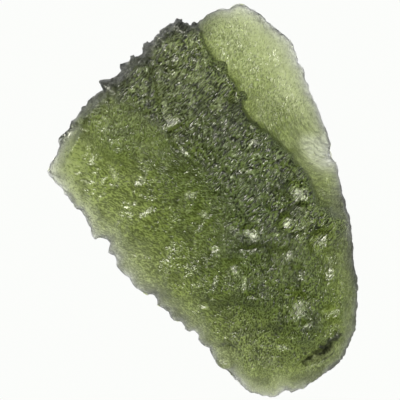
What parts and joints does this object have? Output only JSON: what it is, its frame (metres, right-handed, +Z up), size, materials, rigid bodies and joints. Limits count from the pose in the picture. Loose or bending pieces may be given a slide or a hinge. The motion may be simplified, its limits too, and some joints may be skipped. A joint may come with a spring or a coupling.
{
  "type": "moldavite",
  "caption": "Flat, jagged piece of natural green glass with a thick sculpted face, a thin ledge behind a scarp, a toothed lower edge and a pitted back.",
  "frame": {"origin": "under the middle of the stone, on the surface that it rests on", "axes": "+Z up, out of the broad sculpted face; +Y along the stone's length towards the thin ledge's rounded top; +X towards the long straight side"},
  "size_m": [0.0312, 0.0398, 0.0074],
  "materials": {
    "moldavite_glass": "clear olive green natural glass with an etched, finely pitted, glossy skin"
  },
  "bodies": {
    "root": {"moldavite": "moldavite_glass"}
  },
  "joints": []
}
